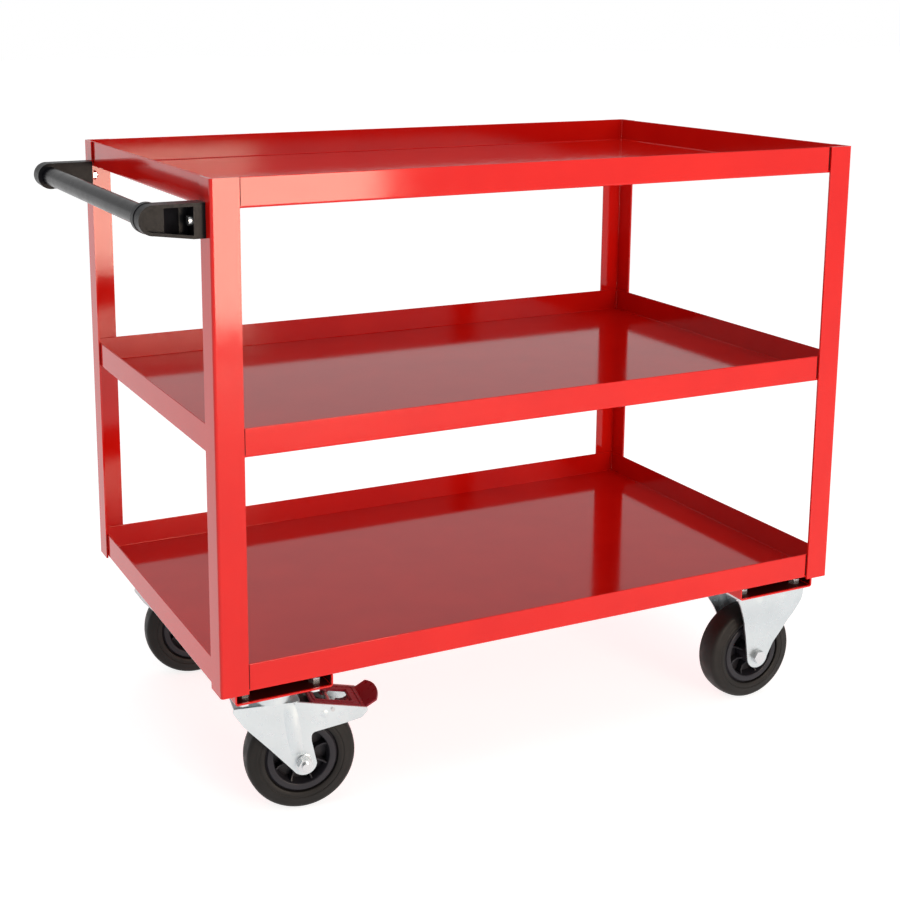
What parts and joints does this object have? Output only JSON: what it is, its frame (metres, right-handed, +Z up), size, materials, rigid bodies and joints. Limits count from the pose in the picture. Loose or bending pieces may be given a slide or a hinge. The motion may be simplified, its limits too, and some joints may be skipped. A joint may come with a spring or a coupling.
{
  "type": "rolling tool trolley",
  "caption": "Open steel tool trolley with stacked tray shelves between angle posts, a push handle at one end and swivel and fixed casters.",
  "frame": {"origin": "centre of the bounding box, on the floor under the wheels", "axes": "+X along the length, away from the push handle; +Y across the trolley, from the front to the back; +Z up"},
  "size_m": [1.1282, 0.62, 0.912],
  "materials": {
    "red_powder_coat": "glossy red powder coat",
    "black_plastic": "moulded black plastic, fine satin grain",
    "black_enamel": "satin black powder coat",
    "zinc_plate": "bright zinc plate on pressed steel",
    "bright_fasteners": "bright zinc plate",
    "bare_steel": "bare steel",
    "maroon_enamel": "semi-gloss dark red enamel",
    "tyre_rubber": "matt solid rubber",
    "hub_plastic": "satin dark grey moulding"
  },
  "bodies": {
    "trolley": {"post_front_left": "red_powder_coat", "post_front_right": "red_powder_coat", "post_back_left": "red_powder_coat", "post_back_right": "red_powder_coat", "tray_top": "red_powder_coat", "tray_middle": "red_powder_coat", "tray_bottom": "red_powder_coat", "caster_channel_left": "red_powder_coat", "caster_channel_right": "red_powder_coat", "handle_bracket_front": "black_plastic", "handle_bracket_back": "black_plastic", "handle_tube": "black_enamel", "handle_bolts": "bright_fasteners", "handle_nuts": "bright_fasteners", "plate_bolts": "bright_fasteners", "plate_nuts": "bright_fasteners", "front_left_plate": "zinc_plate", "front_left_kingpin": "bare_steel", "front_left_dust_ring": "zinc_plate", "back_left_plate": "zinc_plate", "back_left_kingpin": "bare_steel", "back_left_dust_ring": "zinc_plate", "front_right_fork": "zinc_plate", "front_right_axle_bolt": "bright_fasteners", "front_right_axle_nut": "bright_fasteners", "front_right_bush": "bare_steel", "back_right_fork": "zinc_plate", "back_right_axle_bolt": "bright_fasteners", "back_right_axle_nut": "bright_fasteners", "back_right_bush": "bare_steel"},
    "front_left_swivel": {"front_left_fork": "zinc_plate", "front_left_lower_race": "zinc_plate", "front_left_balls": "bare_steel", "front_left_pedal_pin": "bare_steel", "front_left_axle_bolt": "bright_fasteners", "front_left_axle_nut": "bright_fasteners", "front_left_bush": "bare_steel"},
    "front_left_brake": {"front_left_pedal": "maroon_enamel", "front_left_brake_shoe": "bare_steel"},
    "front_left_wheel": {"front_left_rollers": "bare_steel", "front_left_hub": "hub_plastic", "front_left_tyre": "tyre_rubber"},
    "back_left_swivel": {"back_left_fork": "zinc_plate", "back_left_lower_race": "zinc_plate", "back_left_balls": "bare_steel", "back_left_pedal_pin": "bare_steel", "back_left_axle_bolt": "bright_fasteners", "back_left_axle_nut": "bright_fasteners", "back_left_bush": "bare_steel"},
    "back_left_brake": {"back_left_pedal": "maroon_enamel", "back_left_brake_shoe": "bare_steel"},
    "back_left_wheel": {"back_left_rollers": "bare_steel", "back_left_hub": "hub_plastic", "back_left_tyre": "tyre_rubber"},
    "front_right_wheel": {"front_right_rollers": "bare_steel", "front_right_hub": "hub_plastic", "front_right_tyre": "tyre_rubber"},
    "back_right_wheel": {"back_right_rollers": "bare_steel", "back_right_hub": "hub_plastic", "back_right_tyre": "tyre_rubber"}
  },
  "joints": [
    {"name": "front_left_swivel_turn", "type": "hinge", "parent": "trolley", "child": "front_left_swivel", "pos_m": [-0.38285, -0.244, 0.19], "axis": [0, 0, 1], "continuous": true},
    {"name": "front_left_pedal_press", "type": "hinge", "parent": "front_left_swivel", "child": "front_left_brake", "pos_m": [-0.30013, -0.25859, 0.1555], "axis": [0.1736, 0.9848, 0], "range_deg": [0, 13]},
    {"name": "front_left_wheel_roll", "type": "hinge", "parent": "front_left_swivel", "child": "front_left_wheel", "pos_m": [-0.34149, -0.25129, 0.08], "axis": [0.1736, 0.9848, 0], "continuous": true},
    {"name": "back_left_swivel_turn", "type": "hinge", "parent": "trolley", "child": "back_left_swivel", "pos_m": [-0.38285, 0.244, 0.19], "axis": [0, 0, 1], "continuous": true},
    {"name": "back_left_pedal_press", "type": "hinge", "parent": "back_left_swivel", "child": "back_left_brake", "pos_m": [-0.29967, 0.23231, 0.1555], "axis": [0.1392, 0.9903, 0], "range_deg": [0, 13]},
    {"name": "back_left_wheel_roll", "type": "hinge", "parent": "back_left_swivel", "child": "back_left_wheel", "pos_m": [-0.34126, 0.23815, 0.08], "axis": [0.1392, 0.9903, 0], "continuous": true},
    {"name": "front_right_wheel_roll", "type": "hinge", "parent": "trolley", "child": "front_right_wheel", "pos_m": [0.45615, -0.244, 0.08], "axis": [0, 1, 0], "continuous": true},
    {"name": "back_right_wheel_roll", "type": "hinge", "parent": "trolley", "child": "back_right_wheel", "pos_m": [0.45615, 0.244, 0.08], "axis": [0, 1, 0], "continuous": true}
  ]
}
